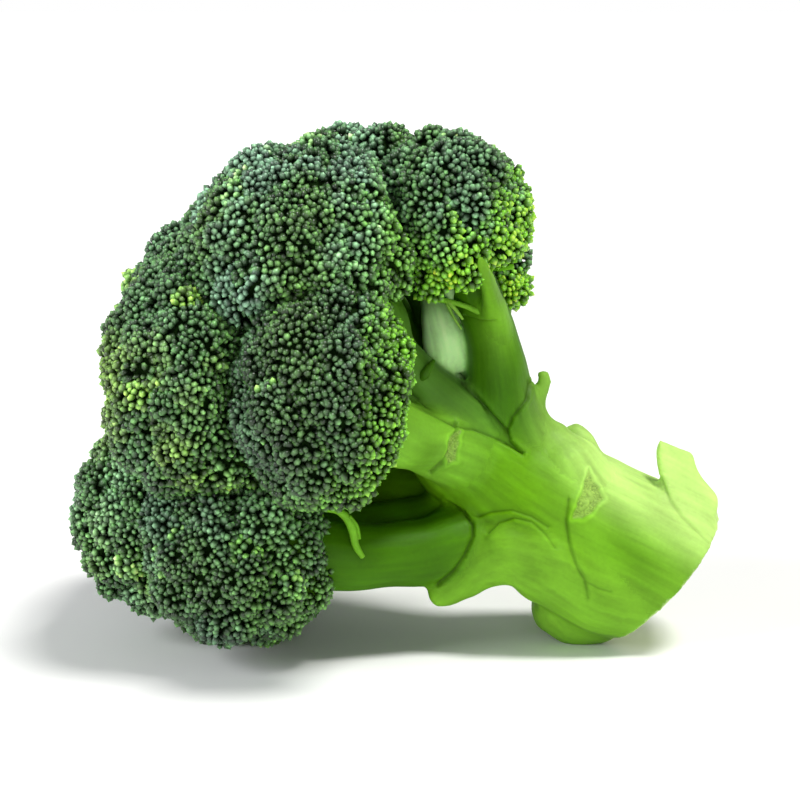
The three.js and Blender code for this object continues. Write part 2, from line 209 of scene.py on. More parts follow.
# Creases in the flesh of the near side, seen square on: points (X, Z), the depth of the crease,
# and how far its left side (walking along it) stands proud of its right side
CREASES = {
    "fork_split": ([(15.8, 75.1), (22.2, 68.2), (28.3, 61.2)], 0.9, 0.5),
    "trunk_shoulder": ([(1.6, 72.6), (9.2, 67), (15.6, 63.3), (19.3, 62.4), (26.7, 58.7),
                        (32.8, 55.7)], 0.7, -0.5),
    "bract_base": ([(34.5, 73.2), (33.7, 69.5), (29.6, 64.9), (28.3, 61.7), (29.1, 58.5),
                    (32.3, 55.5)], 0.8, 0.6),
    "front_stalk": ([(14.6, 64.5), (14.1, 60.2), (10.7, 54.6), (7.9, 51.6)], 0.7, 0.4),
    "low_stalk": ([(12.7, 41.5), (16.9, 39.6), (19.3, 36.6), (19.3, 33.7), (17, 28.5),
                   (14.1, 24.1), (10.1, 20)], 0.9, 0.6),
    "rib_upper": ([(21, 38.7), (23.9, 40), (29.4, 40.9), (34.7, 39.5), (38.9, 36.8)], 0.5, -0.4),
    "rib_fold": ([(23.4, 34.6), (26, 37.3), (30.2, 39), (34.7, 38.2), (38.7, 34.6),
                  (40.8, 31.7)], 0.5, -0.4),
    "scar_tail": ([(44.4, 43.8), (43.6, 38.7), (44.5, 32.8), (46.2, 27.3), (48.9, 22.7),
                   (49.7, 17.8)], 0.5, 0.35),
    "scar_fork": ([(49, 22.5), (52.4, 20.5), (55.6, 19.5)], 0.3, 0.15),
    "end_seam": ([(70.2, 47), (72.4, 41.4), (75.6, 37.4), (79.8, 33.4), (82.6, 30.8)], 0.4, 0.2),
    "top_right_shoulder": ([(17, 92), (20.9, 91.2), (24.6, 91.5)], 0.4, 0.25),
}
LEAF_SCAR = [(50.1, 51.4), (54.2, 43.6), (48.2, 38.7), (45, 38.7)]
SIDE_SCAR = [(12.4, 62), (15.2, 62.4), (14.6, 55), (12.2, 54.2)]
SCAR_COLOUR = (0.26, 0.38, 0.08)

# The deeper patch on the trunk's near side, seen square on: its middle, the direction across it,
# and its half sizes across and along
PATCH = ((60, 29), (0.53, 0.85), 6.5, 13)

# Camera: where it looks, how far off it stands, how high it looks from and its lens
TARGET = (0, 0, 67.3)
DISTANCE = 600
ELEVATION = 10
LENS = 100

# Lights: the side each one shines from, how wide it is in degrees, and its colour
LIGHTS = {
    "key": ((0.3, -0.2, 0.9), 16, (1, 0.99, 0.96)),
    "fill": ((-0.8, -0.4, 0.55), 35, (0.96, 0.98, 1)),
    "front": ((0.2, -0.95, 0.22), 30, (1, 1, 1)),
}
FLOOR_REACH = 80000


# Sizes and colours that a user would change

class BudSettings(bpy.types.PropertyGroup):
    pitch: FloatProperty(
        name="Bud pitch", description="Distance between neighbouring buds, in millimetres",
        default=1.54, min=1.2, max=6)
    cluster_pitch: FloatProperty(
        name="Cluster pitch", description="Distance between tufts of buds, in millimetres",
        default=6.4, min=4, max=14)
    seed: IntProperty(name="Seed", description="Changes the draw of bud places", default=7)
    deep: FloatVectorProperty(
        name="Deep green", description="Colour of most buds", subtype="COLOR",
        default=(0.043, 0.108, 0.031))
    waxy: FloatVectorProperty(
        name="Waxy green", description="Colour of buds with a bloom of wax", subtype="COLOR",
        default=(0.09, 0.165, 0.112))
    olive: FloatVectorProperty(
        name="Olive green", description="Colour of the older buds at the left", subtype="COLOR",
        default=(0.1, 0.175, 0.025))
    fresh: FloatVectorProperty(
        name="Fresh green", description="Colour of the young buds at the rims", subtype="COLOR",
        default=(0.155, 0.44, 0.013))
    # Near black: painted shade in the furrows between the buds
    core: FloatVectorProperty(
        name="Core green", description="Colour seen in the furrows", subtype="COLOR",
        default=(0.005, 0.016, 0.002))


class StemSettings(bpy.types.PropertyGroup):
    voxel: FloatProperty(
        name="Fineness", description="Size of the stem's faces, in millimetres",
        default=0.9, min=0.6, max=3)
    flesh: FloatVectorProperty(
        name="Flesh", description="Colour of the fork and the near stalks", subtype="COLOR",
        default=(0.13, 0.35, 0.002))
    # Painted shade: the darker green put on the stalks under the crown and up in the fork
    painted_shade: FloatVectorProperty(
        name="Deep flesh", description="Colour of the stalks under the crown", subtype="COLOR",
        default=(0.03, 0.115, 0.0))
    # Pale: the trunk end's own paler colour, and on the end's top painted light from above
    pale: FloatVectorProperty(
        name="Pale flesh", description="Colour of the trunk's end", subtype="COLOR",
        default=(0.47, 0.72, 0.18))
    # Partly the real bloom of wax and partly painted light, at full lightness where little light
    # reaches the tongue
    waxy: FloatVectorProperty(
        name="Waxed flesh", description="Colour of the pale tongue in the fork",
        subtype="COLOR", default=(0.62, 1.0, 0.42))
    cut: FloatVectorProperty(
        name="Cut face", description="Colour of the fresh cut", subtype="COLOR",
        default=(0.62, 0.76, 0.36))


class StageSettings(bpy.types.PropertyGroup):
    floor: FloatVectorProperty(
        name="Floor", description="Colour of the plain floor", subtype="COLOR",
        default=(0.9, 0.9, 0.9))
    key: FloatProperty(
        name="Key light", description="Strength of the broad light from the upper right",
        default=2.75)
    fill: FloatProperty(
        name="Fill light", description="Strength of the fainter light from the left", default=2.2)
    front: FloatProperty(
        name="Front light", description="Strength of the faint light from the near side",
        default=0.7)
    sky: FloatProperty(
        name="Room light", description="Strength of the even light all round", default=0.3)


# Places and shapes

def seeded_draws(seed, count):
    """count even draws from 0 to 1: a counter in equal steps, mixed by shifts and products."""
    low = np.uint64(0xFFFFFFFF)
    state = (np.uint64(seed) + np.arange(1, count + 1, dtype=np.uint64) * np.uint64(0x6D2B79F5)) & low
    mixed = ((state ^ (state >> np.uint64(15))) * (state | np.uint64(1))) & low
    step = ((mixed ^ (mixed >> np.uint64(7))) * (mixed | np.uint64(61))) & low
    mixed = ((mixed + step) & low) ^ mixed
    return ((mixed ^ (mixed >> np.uint64(14))) & low).astype(float) / 4294967296


def unit(vectors):
    """Each row divided by its length."""
    return vectors / np.maximum(np.linalg.norm(vectors, axis=-1, keepdims=True), 1e-12)


def smoothstep(low, high, value):
    """0 below low, 1 above high, and 3t^2 - 2t^3 between."""
    t = np.clip((value - low) / (high - low), 0, 1)
    return t * t * (3 - 2 * t)


def spiral(count):
    """Directions spread evenly over a ball: equal steps in height, the golden angle in turn."""
    step = np.arange(count)
    z = 1 - (2 * step + 1) / count
    ring = np.sqrt(1 - z * z)
    turn = math.pi * (3 - math.sqrt(5)) * step
    return np.stack([ring * np.cos(turn), ring * np.sin(turn), z], axis=1)


def points_at_pitch(radius, pitch):
    """How many points at a pitch cover a ball, packed in hexagons."""
    return int(round(4 * math.pi * radius ** 2 / (0.866 * pitch ** 2)))


def patches(points, size, seed):
    """A smooth random value from -1 to 1 at each point: the mean of six waves of about a size."""
    rng = np.random.default_rng(seed)
    waves = unit(rng.normal(size=(6, 3))) * (2 * math.pi / size) * rng.uniform(0.6, 1.4, (6, 1))
    return np.sin(points @ waves.T + rng.uniform(0, 6.28, 6)).mean(axis=1) * 1.6


def half_width(size, direction):
    """Distance from an ellipsoid's centre to its surface along a direction."""
    return 1 / np.linalg.norm(direction / size)


def floret_heads():
    """Each floret head's lobes and the planes that part it from its stalk and its neighbours.

    A plane between two heads stands where both are equally far from their own surfaces, as
    (d^2 + a^2 - b^2) / 2d from the first centre, with half the gap taken off.
    """
    radii = {name: float(np.prod(size)) ** (1 / 3) for name, (_, size, _) in FLORETS.items()}
    counts = {name: points_at_pitch(radii[name], LOBE_PITCH) for name in FLORETS}
    draws = seeded_draws(LOBE_SEED, 5 * sum(counts.values()))
    heads = {}
    used = 0
    for name, (centre, size, under) in FLORETS.items():
        count = counts[name]
        nudges = draws[used:used + 3 * count].reshape(count, 3)
        shapes = draws[used + 3 * count:used + 5 * count].reshape(count, 2)
        used += 5 * count
        lobes = unit(spiral(count) + (nudges - 0.5) * LOBE_STRAY)
        lobes *= LOBE_OUT[0] + LOBE_OUT[1] * shapes[:, :1]
        centre, size = np.array(centre, float), np.array(size, float)
        heads[name] = {
            "name": name, "centre": centre, "size": size, "radius": radii[name],
            "axis": unit(centre - FORK), "under": under, "lobes": lobes,
            "lobe_radii": LOBE_RADIUS[0] + LOBE_RADIUS[1] * shapes[:, 1],
        }
    for head in heads.values():
        planes = [(-head["axis"], head["under"] * half_width(head["size"], head["axis"]))]
        for other in heads.values():
            offset = other["centre"] - head["centre"]
            distance = np.linalg.norm(offset)
            if other is head:
                continue
            normal = offset / distance
            mine, theirs = half_width(head["size"], normal), half_width(other["size"], normal)
            if distance < mine + theirs + NEIGHBOUR_REACH:
                width = (distance ** 2 + mine ** 2 - theirs ** 2) / (2 * distance)
                planes.append((normal, width - FLORET_GAP / 2))
        head["plane_normals"] = np.array([normal for normal, _ in planes])
        head["plane_widths"] = np.array([width for _, width in planes])
    return heads


def dome(head, directions):
    """Where rays from a head's centre leave its ball of lobes, stretched to its three half sizes.

    A ray leaves a lobe of radius p centred at s after s.u + sqrt(p^2 - |s|^2 + (s.u)^2), and the
    farthest lobe counts, or the inner ball. Returns the stretched directions and their lengths.
    """
    along = directions @ head["lobes"].T
    root = head["lobe_radii"] ** 2 - (head["lobes"] ** 2).sum(axis=1) + along ** 2
    reach = np.where(root > 0, along + np.sqrt(np.maximum(root, 0)), 0).max(axis=1)
    point = directions * np.maximum(reach, INNER_BALL)[:, None] * head["size"]
    length = np.linalg.norm(point, axis=1)
    return point / length[:, None], length


def limited(head, toward, distance):
    """A distance cut short by the head's planes and the ground.

    The planes are blended as (r^-n + sum((t/w)^n))^(-1/n), so the dome rolls over into a crease.
    """
    facing = np.maximum(toward @ head["plane_normals"].T, 0) / head["plane_widths"]
    reach = (distance ** -CREASE_SHARPNESS + (facing ** CREASE_SHARPNESS).sum(axis=1))
    reach = reach ** (-1 / CREASE_SHARPNESS)
    down = np.maximum(-toward[:, 2], 1e-9)
    return np.minimum(reach, head["centre"][2] / down)


def skin(head, directions, sunk=0.0):
    """Points of a head's surface along directions, swollen in patches and sunk by a distance."""
    toward, distance = dome(head, directions)
    reach = limited(head, toward, distance)
    swell = RELIEF * patches(head["centre"] + toward * distance[:, None], RELIEF_SIZE, 21)
    return head["centre"] + toward * (reach + swell - sunk)[:, None]


def skin_normals(head, directions):
    """Outward normals of a head's surface, from its slope between four points close by."""
    upright = np.where(np.abs(directions[:, 2:]) < 0.9, (0, 0, 1), (1, 0, 0))
    side = unit(np.cross(directions, upright))
    near = 0.06
    slopes = [skin(head, unit(directions + near * way)) - skin(head, unit(directions - near * way))
              for way in (side, np.cross(directions, side))]
    normal = unit(np.cross(*slopes))
    return normal * np.sign((normal * directions).sum(axis=1, keepdims=True))


def random_turns(count, rng):
    """Turning matrices from random unit quaternions."""
    w, x, y, z = unit(rng.normal(size=(count, 4))).T
    return np.stack([
        np.stack([1 - 2 * (y * y + z * z), 2 * (x * y - z * w), 2 * (x * z + y * w)], axis=1),
        np.stack([2 * (x * y + z * w), 1 - 2 * (x * x + z * z), 2 * (y * z - x * w)], axis=1),
        np.stack([2 * (x * z - y * w), 2 * (y * z + x * w), 1 - 2 * (x * x + y * y)], axis=1),
    ], axis=1)


def open_part(head, directions, low):
    """The directions above a share of a dome's rim where no crease cuts it short."""
    toward, distance = dome(head, directions)
    reach = limited(head, toward, distance)
    above = toward @ head["axis"] > -low * head["under"]
    return directions[(reach > OPEN_SHARE * distance) & above]


def is_clear(head, points):
    """Whether points lie on a head's own side of its neighbours' planes and off the ground."""
    beyond = (points - head["centre"]) @ head["plane_normals"].T - head["plane_widths"]
    return (beyond[:, 1:] < 0.2).all(axis=1) & (points[:, 2] > BUD_GROUND)


def tuft_buds(head, settings, rng):
    """Roots and directions of the buds in a head's tufts, and the number of each one's tuft.

    Tufts are small balls set into the skin at the cluster pitch. Buds lie on each ball along a
    golden spiral, and only those that no other ball, neighbouring head or bud covers are kept.
    """
    count = points_at_pitch(head["radius"], settings.cluster_pitch)
    stray = rng.uniform(-0.5, 0.5, (count, 3)) * TUFT_STRAY / head["radius"]
    seeds = open_part(head, unit(spiral(count) + stray), 0.95)
    normals = skin_normals(head, seeds)
    radii = rng.uniform(*TUFT_RADII, len(seeds))
    sunk = radii + rng.uniform(*TUFT_SINK, len(seeds))
    middles = skin(head, seeds) - normals * sunk[:, None]
    on_ball = spiral(points_at_pitch(TUFT_MEAN, settings.pitch))
    out = np.einsum("cij,nj->cni", random_turns(len(seeds), rng), on_ball)
    out = unit(out + rng.uniform(-0.5, 0.5, out.shape) * 0.45 * settings.pitch / TUFT_MEAN)
    roots = middles[:, None] + out * radii[:, None, None]
    tuft = np.repeat(np.arange(len(seeds)), len(on_ball))
    facing = np.einsum("cni,ci->cn", out, normals).ravel()
    out, roots = out.reshape(-1, 3), roots.reshape(-1, 3)
    keep = facing > 0.1
    out, roots, tuft = out[keep], roots[keep], tuft[keep]
    away = np.linalg.norm(roots[:, None] - middles[None], axis=2) - radii
    away[np.arange(len(roots)), tuft] = np.inf
    keep = (away.min(axis=1) > -0.3) & is_clear(head, roots)
    out, roots, tuft = out[keep], roots[keep], tuft[keep]
    apart = np.linalg.norm(roots[:, None] - roots[None], axis=2)
    covered = np.triu(apart < 0.7 * settings.pitch, 1).any(axis=0)
    return roots[~covered], out[~covered], tuft[~covered]


def bud_places(head, settings, rng):
    """Roots, directions and tufts of a head's buds: those in its tufts, and lower ones that fill
    what is left bare between, each counted to the tuft of the nearest bud."""
    roots, out, tuft = tuft_buds(head, settings, rng)
    between = spiral(points_at_pitch(head["radius"], 1.15 * settings.pitch))
    between = open_part(head, between, 0.9)
    low = skin(head, between, LOW_SINK)
    apart = np.linalg.norm(low[:, None] - roots[None], axis=2)
    keep = (apart.min(axis=1) > 0.85 * settings.pitch) & is_clear(head, low)
    return (np.concatenate([roots, low[keep]]),
            np.concatenate([out, skin_normals(head, between[keep])]),
            np.concatenate([tuft, tuft[apart[keep].argmin(axis=1)]]))


# One bud: rings of corners, each with a height as a share of its length, a width as a share of
# its radius and a painted shade, then the height of its tip and its painted highlight: the base
# is painted near black as shade between the buds, the tip painted bright as a glint
BUD_SIDES = 5
BUD_RINGS = ((-0.5, 0.82, 0.03), (0.66, 0.99, 0.58))
BUD_TIP = (1.3, 2.8)


def bud_form():
    """A pointed oval: rings of corners, each turned by half a corner, closed by a tip above and
    a flat face below."""
    turn = 2 * math.pi * np.arange(BUD_SIDES) / BUD_SIDES
    rings = []
    for number, (height, width, _) in enumerate(BUD_RINGS):
        angle = turn + (number % 2) * math.pi / BUD_SIDES
        rings.append(np.stack([width * np.cos(angle), width * np.sin(angle),
                               np.full(BUD_SIDES, height)], axis=1))
    corners = np.concatenate(rings + [[(0, 0, BUD_TIP[0])]])
    k = np.arange(BUD_SIDES)
    after = (k + 1) % BUD_SIDES
    faces = []
    for ring in range(len(BUD_RINGS) - 1):
        low, high = ring * BUD_SIDES, (ring + 1) * BUD_SIDES
        if ring % 2 == 0:
            faces.append(np.stack([low + k, low + after, high + k], axis=1))
            faces.append(np.stack([low + after, high + after, high + k], axis=1))
        else:
            faces.append(np.stack([low + k, low + after, high + after], axis=1))
            faces.append(np.stack([low + k, high + after, high + k], axis=1))
    last = (len(BUD_RINGS) - 1) * BUD_SIDES
    faces.append(np.stack([last + k, last + after, np.full(BUD_SIDES, len(corners) - 1)], axis=1))
    faces.append(np.stack([0 * k[2:], k[2:], k[1:-1]], axis=1))
    return corners, np.concatenate(faces)


def set_buds(roots, out, radii, lengths, rng):
    """Copies of the bud form, each stood on its root along its direction with a random roll."""
    form, faces = bud_form()
    side = unit(np.cross(out, unit(rng.normal(size=out.shape))))
    other = np.cross(out, side)
    oval = rng.uniform(0.8, 1.2, len(roots))
    points = (roots[:, None]
              + form[None, :, 0:1] * (side * (radii * oval)[:, None])[:, None]
              + form[None, :, 1:2] * (other * (radii / oval)[:, None])[:, None]
              + form[None, :, 2:3] * (out * lengths[:, None])[:, None])
    shifts = np.arange(len(roots))[:, None, None] * len(form)
    return points.reshape(-1, 3), (faces[None] + shifts).reshape(-1, 3)


def joined(sets):
    """Several meshes as one: the faces of each count on from the points of those before it."""
    shifts = np.cumsum([0] + [len(points) for points, _ in sets[:-1]])
    return (np.concatenate([points for points, _ in sets]),
            np.concatenate([faces + shift for (_, faces), shift in zip(sets, shifts)]))


def ball_grid(rows, sides, pole):
    """Directions on a grid of rings round a pole, with one point at each pole, and its faces."""
    tilt = math.pi * np.arange(1, rows) / rows
    turn = 2 * math.pi * np.arange(sides) / sides
    ring = np.stack([np.outer(np.sin(tilt), np.cos(turn)), np.outer(np.sin(tilt), np.sin(turn)),
                     np.outer(np.cos(tilt), np.ones(sides))], axis=2).reshape(-1, 3)
    pole = unit(np.asarray(pole, float))
    side = unit(np.cross(pole, (0, 1, 0) if abs(pole[1]) < 0.9 else (1, 0, 0)))
    frame_axes = np.stack([side, np.cross(pole, side), pole])
    directions = np.concatenate([ring, [(0, 0, 1), (0, 0, -1)]]) @ frame_axes
    k = np.arange(sides)
    after = (k + 1) % sides
    start = np.arange(rows - 2)[:, None] * sides
    a, b = start + k, start + after
    faces = [np.stack([a, a + sides, b], axis=2).reshape(-1, 3),
             np.stack([b, a + sides, b + sides], axis=2).reshape(-1, 3)]
    top, low = len(ring), len(ring) + 1
    last = (rows - 2) * sides
    faces.append(np.stack([np.full(sides, top), k, after], axis=1))
    faces.append(np.stack([np.full(sides, low), last + after, last + k], axis=1))
    return directions, np.concatenate(faces)


def swept(lines, radii, sides):
    """Round sections carried along lines, one row of points and radii for each, closed by points.

    The section's first axis is at right angles to the line and to a fixed direction.
    """
    count, rings, _ = lines.shape
    ahead = unit(np.gradient(lines, axis=1))
    side = unit(np.cross(ahead, SECTION_SIDE))
    other = np.cross(ahead, side)
    turn = 2 * math.pi * np.arange(sides) / sides
    around = (np.cos(turn)[:, None] * side[:, :, None] + np.sin(turn)[:, None] * other[:, :, None])
    body = lines[:, :, None] + around * radii[:, :, None, None]
    ends = np.stack([lines[:, 0] - 0.35 * ahead[:, 0] * radii[:, :1],
                     lines[:, -1] + 0.35 * ahead[:, -1] * radii[:, -1:]], axis=1)
    points = np.concatenate([body.reshape(count, -1, 3), ends], axis=1)
    k = np.arange(sides)
    after = (k + 1) % sides
    start = np.arange(rings - 1)[:, None] * sides
    a, b = start + k, start + after
    faces = [np.stack([a, b, a + sides], axis=2).reshape(-1, 3),
             np.stack([b, b + sides, a + sides], axis=2).reshape(-1, 3),
             np.stack([np.full(sides, rings * sides), after, k], axis=1),
             np.stack([np.full(sides, rings * sides + 1), (rings - 1) * sides + k,
                       (rings - 1) * sides + after], axis=1)]
    faces = np.concatenate(faces)
    shifts = np.arange(count)[:, None, None] * points.shape[1]
    return points.reshape(-1, 3), (faces[None] + shifts).reshape(-1, 3)


def smooth_line(rows, samples):
    """Centripetal Catmull-Rom curve through the rows' points, with the radius eased between."""
    rows = np.array(rows, float)
    points = rows[:, :3]
    points = np.concatenate([[2 * points[0] - points[1]], points, [2 * points[-1] - points[-2]]])
    p0, p1, p2, p3 = points[:-3], points[1:-2], points[2:-1], points[3:]
    d0, d1, d2 = (np.sqrt(np.linalg.norm(b - a, axis=1))[:, None]
                  for a, b in ((p0, p1), (p1, p2), (p2, p3)))
    start = ((p1 - p0) / d0 - (p2 - p0) / (d0 + d1) + (p2 - p1) / d1) * d1
    end = ((p2 - p1) / d1 - (p3 - p1) / (d1 + d2) + (p3 - p2) / d2) * d1
    t = np.arange(samples)[None, :, None] / samples
    curve = ((2 * t ** 3 - 3 * t ** 2 + 1) * p1[:, None]
             + (t ** 3 - 2 * t ** 2 + t) * start[:, None]
             + (3 * t ** 2 - 2 * t ** 3) * p2[:, None]
             + (t ** 3 - t ** 2) * end[:, None])
    ease = (3 * t ** 2 - 2 * t ** 3)[..., 0]
    radii = rows[:-1, 3:] * (1 - ease) + rows[1:, 3:] * ease
    return (np.concatenate([curve.reshape(-1, 3), points[-2:-1]]),
            np.concatenate([radii.ravel(), rows[-1:, 3]]))


def limbs():
    """Every limb of the stem as its line and radii."""
    rows = {"trunk": TRUNK}
    rows.update({f"stalk_{name}": stalk for name, stalk in STALKS.items()})
    rows.update(STUBS)
    rows["tongue"] = TONGUE
    return {name: smooth_line(limb, LIMB_SAMPLES) for name, limb in rows.items()}


def flap(rows=40, columns=24):
    """The flap of leaf base at the trunk's end: a closed curved plate.

    A point at (u, v) of its front lies u of the way down both edges and v of the way from the
    left edge to the right one. It comes nearer by 3u + 5.8u^2 on the way down, bows out between
    the edges by 2.2v(1 - v) and falls back by 2v. The back lies 3.4 + 5u behind it.
    """
    u, v = np.meshgrid(np.linspace(0, 1, rows), np.linspace(0, 1, columns), indexing="ij")
    knots = np.linspace(0, 1, len(FLAP_LEFT))
    left = np.stack([np.interp(u, knots, np.array(FLAP_LEFT)[:, k]) for k in (0, 1)], axis=-1)
    right = np.stack([np.interp(u, knots, np.array(FLAP_RIGHT)[:, k]) for k in (0, 1)], axis=-1)
    place = left * (1 - v)[..., None] + right * v[..., None]
    front_y = -4.8 - 3 * u - 5.8 * u ** 2 - 2.2 * v * (1 - v) + 2 * v
    thick = 3.4 + 5 * u
    front = np.stack([place[..., 0], front_y, place[..., 1]], axis=-1)
    back = front + np.stack([0 * thick, thick, 0 * thick], axis=-1)
    points = np.concatenate([front.reshape(-1, 3), back.reshape(-1, 3)])
    count = rows * columns
    i, j = np.meshgrid(np.arange(rows - 1), np.arange(columns - 1), indexing="ij")
    a = (i * columns + j).ravel()
    b, c, d = a + 1, a + columns, a + columns + 1
    faces = [np.stack([a, b, d], axis=1), np.stack([a, d, c], axis=1)]
    faces += [face[:, ::-1] + count for face in list(faces)]
    down, across = np.arange(rows) * columns, np.arange(columns)
    rim = np.concatenate([across, down[1:] + columns - 1, (rows - 1) * columns + across[-2::-1],
                          down[-2:0:-1]])
    after = np.roll(rim, -1)
    faces += [np.stack([rim, rim + count, after], axis=1),
              np.stack([after, rim + count, after + count], axis=1)]
    return points, np.concatenate(faces)


def line_distance(points, line):
    """Distance in a plane from points to a bent line, and its side, from 1 on the left of the
    line to -1 on its right, fading to 0 past its ends."""
    line = np.array(line, float)
    start, step = line[:-1], np.diff(line, axis=0)
    length = np.linalg.norm(step, axis=1)
    rel = points[:, None] - start
    along = (rel * step).sum(axis=2) / length ** 2
    gap = rel - np.clip(along, 0, 1)[..., None] * step
    far = np.linalg.norm(gap, axis=2)
    best = far.argmin(axis=1)
    row = np.arange(len(points))
    turn = step[best, 0] * gap[row, best, 1] - step[best, 1] * gap[row, best, 0]
    over = np.maximum(along[row, best] - 1, -along[row, best]) * length[best]
    at_end = np.where(along[row, best] > 0.5, best == len(step) - 1, best == 0)
    fade = np.where(at_end, np.exp(-(np.maximum(over, 0) / 1.2) ** 2), 1)
    return far[row, best], np.where(turn >= 0, 1, -1) * fade


def inside(points, outline):
    """How far points lie inside a closed outline in a plane, negative outside."""
    ring = np.array(outline + outline[:1], float)
    distance = line_distance(points, ring)[0]
    x, y = points[:, :1], points[:, 1:]
    a, b = ring[:-1], ring[1:]
    crosses = (a[:, 1] > y) != (b[:, 1] > y)
    rise = np.where(b[:, 1] == a[:, 1], 1, b[:, 1] - a[:, 1])
    at = a[:, 0] + (y - a[:, 1]) * (b[:, 0] - a[:, 0]) / rise
    odd = (crosses & (x < at)).sum(axis=1) % 2 == 1
    return np.where(odd, distance, -distance)


# Meshes and materials

def new_piece(name, points, faces, materials, slots=None, attributes=()):
    """A smooth mesh object from points in millimetres and triangles."""
    mesh = bpy.data.meshes.new(name)
    mesh.vertices.add(len(points))
    mesh.vertices.foreach_set("co", (points * MM).astype(np.float32).ravel())
    mesh.loops.add(faces.size)
    mesh.loops.foreach_set("vertex_index", faces.astype(np.int32).ravel())
    mesh.polygons.add(len(faces))
    mesh.polygons.foreach_set("loop_start", np.arange(0, faces.size, 3, dtype=np.int32))
    mesh.polygons.foreach_set("use_smooth", np.ones(len(faces), bool))
    for material in materials:
        mesh.materials.append(material)
    if slots is not None:
        mesh.polygons.foreach_set("material_index", slots.astype(np.int32))
    mesh.update(calc_edges=True)
    mesh.validate()
    write_attributes(mesh, attributes)
    piece = bpy.data.objects.new(name, mesh)
    bpy.context.scene.collection.objects.link(piece)
    return piece


def write_attributes(mesh, attributes):
    """Values at each point: a colour for four columns, a vector for three, a number for one."""
    for name, values in attributes:
        kind, field = {4: ("FLOAT_COLOR", "color"), 3: ("FLOAT_VECTOR", "vector")}.get(
            values.shape[1] if values.ndim > 1 else 1, ("FLOAT", "value"))
        layer = mesh.attributes.new(name, kind, "POINT")
        layer.data.foreach_set(field, values.astype(np.float32).ravel())


def fresh_material(name):
    """A new material with its nodes and links."""
    material = bpy.data.materials.new(name)
    material.use_nodes = True
    return material, material.node_tree.nodes, material.node_tree.links


def mottle_group():
    """Shader group: a colour made lighter and darker in soft spots of a size."""
    group = bpy.data.node_groups.new("mottle", "ShaderNodeTree")
    face = group.interface
    face.new_socket("Colour", in_out="INPUT", socket_type="NodeSocketColor")
    face.new_socket("Place", in_out="INPUT", socket_type="NodeSocketVector")
    face.new_socket("Scale", in_out="INPUT", socket_type="NodeSocketFloat").default_value = 200
    face.new_socket("Amount", in_out="INPUT", socket_type="NodeSocketFloat").default_value = 0.3
    face.new_socket("Colour", in_out="OUTPUT", socket_type="NodeSocketColor")
    face.new_socket("Spots", in_out="OUTPUT", socket_type="NodeSocketFloat")
    nodes, links = group.nodes, group.links
    given, made = nodes.new("NodeGroupInput"), nodes.new("NodeGroupOutput")
    noise = nodes.new("ShaderNodeTexNoise")
    noise.inputs["Detail"].default_value = 3
    links.new(given.outputs["Place"], noise.inputs["Vector"])
    links.new(given.outputs["Scale"], noise.inputs["Scale"])
    centred = nodes.new("ShaderNodeMath")
    centred.operation = "MULTIPLY_ADD"
    centred.inputs[1].default_value = 2
    centred.inputs[2].default_value = -1
    links.new(noise.outputs["Fac"], centred.inputs[0])
    scaled = nodes.new("ShaderNodeMath")
    scaled.operation = "MULTIPLY_ADD"
    scaled.inputs[2].default_value = 1
    links.new(centred.outputs[0], scaled.inputs[0])
    links.new(given.outputs["Amount"], scaled.inputs[1])
    mixed = nodes.new("ShaderNodeVectorMath")
    mixed.operation = "SCALE"
    links.new(given.outputs["Colour"], mixed.inputs[0])
    links.new(scaled.outputs[0], mixed.inputs["Scale"])
    links.new(mixed.outputs[0], made.inputs["Colour"])
    links.new(noise.outputs["Fac"], made.inputs["Spots"])
    return group


def add_mottle(nodes, links, group, colour, place, scale, amount):
    """Places the mottle group on a colour and returns its node."""
    node = nodes.new("ShaderNodeGroup")
    node.node_tree = group
    node.inputs["Scale"].default_value = scale
    node.inputs["Amount"].default_value = amount
    links.new(colour, node.inputs["Colour"])
    links.new(place, node.inputs["Place"])
    return node


def attribute(nodes, name):
    """A node that reads a mesh attribute."""
    node = nodes.new("ShaderNodeAttribute")
    node.attribute_name = name
    return node


def ranged(nodes, links, value, low, high):
    """A value from 0 to 1 spread from low to high."""
    spread = nodes.new("ShaderNodeMapRange")
    spread.inputs["To Min"].default_value = low
    spread.inputs["To Max"].default_value = high
    links.new(value, spread.inputs["Value"])
    return spread.outputs["Result"]


def bumped(nodes, links, height, strength, distance):
    """A bump node that tilts the normal by a height."""
    bump = nodes.new("ShaderNodeBump")
    bump.inputs["Strength"].default_value = strength
    bump.inputs["Distance"].default_value = distance
    links.new(height, bump.inputs["Height"])
    return bump


def bud_material(mottle):
    """Buds with a faint waxy shine, coloured bud by bud with painted shade and highlight, rougher in
    soft spots.
    """
    material, nodes, links = fresh_material("bud_skin")
    shader = nodes["Principled BSDF"]
    place = nodes.new("ShaderNodeTexCoord").outputs["Object"]
    tint = attribute(nodes, "tint")
    spots = add_mottle(nodes, links, mottle, tint.outputs["Color"], place, 900, 0.35)
    links.new(spots.outputs["Colour"], shader.inputs["Base Color"])
    rough = ranged(nodes, links, spots.outputs["Spots"], 0.24, 0.44)
    links.new(rough, shader.inputs["Roughness"])
    shader.inputs["Specular IOR Level"].default_value = 0.5
    bump = bumped(nodes, links, spots.outputs["Spots"], 0.25, 0.0002)
    links.new(bump.outputs["Normal"], shader.inputs["Normal"])
    return material


def core_material(mottle):
    """The dull deep green between the buds, near black in the tint as painted shade, mottled and
    without gloss.
    """
    material, nodes, links = fresh_material("floret_core")
    shader = nodes["Principled BSDF"]
    place = nodes.new("ShaderNodeTexCoord").outputs["Object"]
    tint = attribute(nodes, "tint")
    spots = add_mottle(nodes, links, mottle, tint.outputs["Color"], place, 500, 0.5)
    links.new(spots.outputs["Colour"], shader.inputs["Base Color"])
    shader.inputs["Roughness"].default_value = 0.9
    shader.inputs["Specular IOR Level"].default_value = 0.05
    return material


